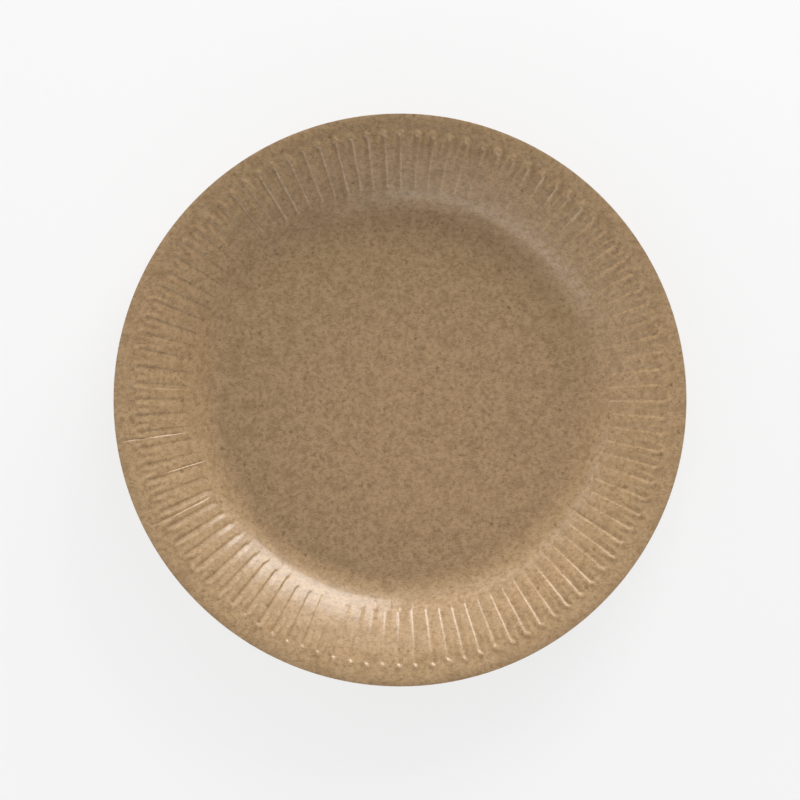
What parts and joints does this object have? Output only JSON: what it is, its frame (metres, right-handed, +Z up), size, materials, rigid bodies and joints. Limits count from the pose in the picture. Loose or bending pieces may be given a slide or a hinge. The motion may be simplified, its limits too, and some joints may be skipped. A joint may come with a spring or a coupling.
{
  "type": "paper plate",
  "caption": "Round shallow plate pressed from brown kraft board, with a flat well, a sloping rim of fine radial flutes and a plain lip, for serving food.",
  "frame": {"origin": "centre of the flat underside of the well", "axes": "+Z up out of the plate, X and Y across it"},
  "size_m": [0.23, 0.23, 0.02],
  "materials": {
    "kraft_board": "satin coated kraft"
  },
  "bodies": {
    "root": {"plate": "kraft_board"}
  },
  "joints": []
}
